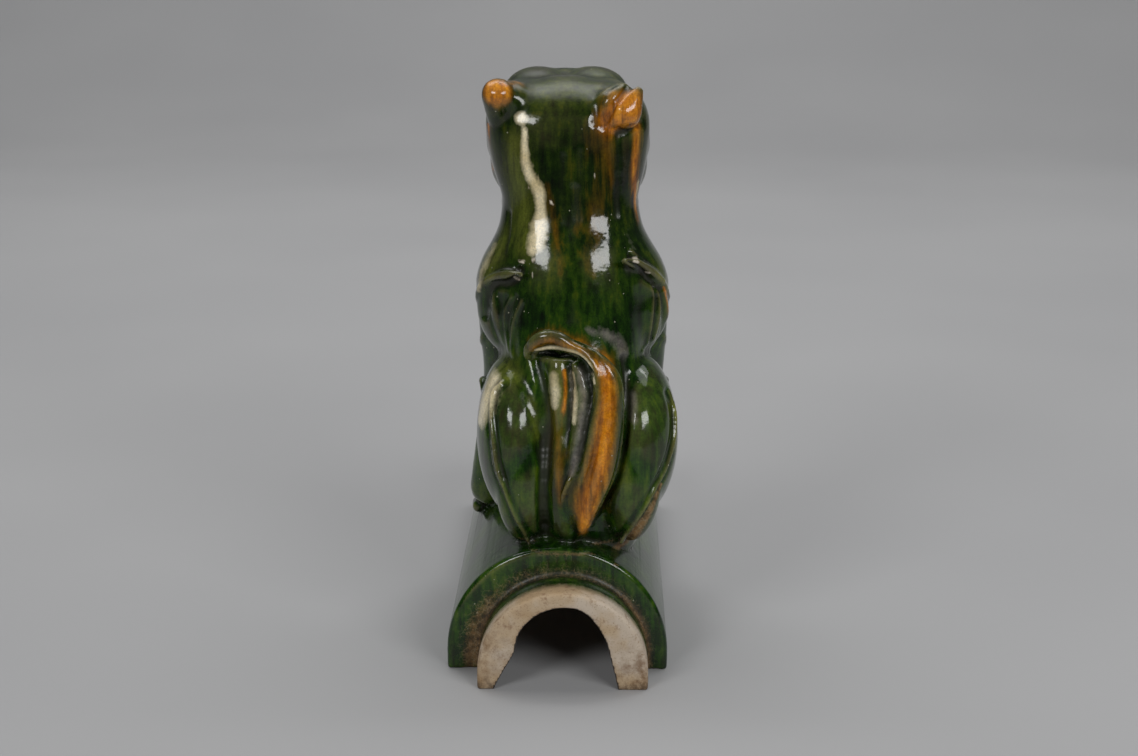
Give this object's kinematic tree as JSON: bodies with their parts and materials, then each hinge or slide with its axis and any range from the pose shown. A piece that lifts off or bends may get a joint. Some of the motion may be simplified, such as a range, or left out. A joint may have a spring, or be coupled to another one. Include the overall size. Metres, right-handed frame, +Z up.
{
  "type": "ridge tile with seated beast",
  "caption": "Half-round roof ridge tile with a narrower spigot at one end and a seated guardian beast on its back, glazed green with amber and cream runs.",
  "frame": {"origin": "on the ground under the middle of the tile", "axes": "+Z up, +Y along the tile the way the beast faces, from the spigot to the plain end, +X to the beast's right"},
  "size_m": [0.1237, 0.3, 0.3153],
  "materials": {
    "glaze": "glossy green lead glaze with amber and cream runs; bare buff clay at the spigot's end"
  },
  "bodies": {
    "root": {"ridge_tile_beast": "glaze"}
  },
  "joints": []
}
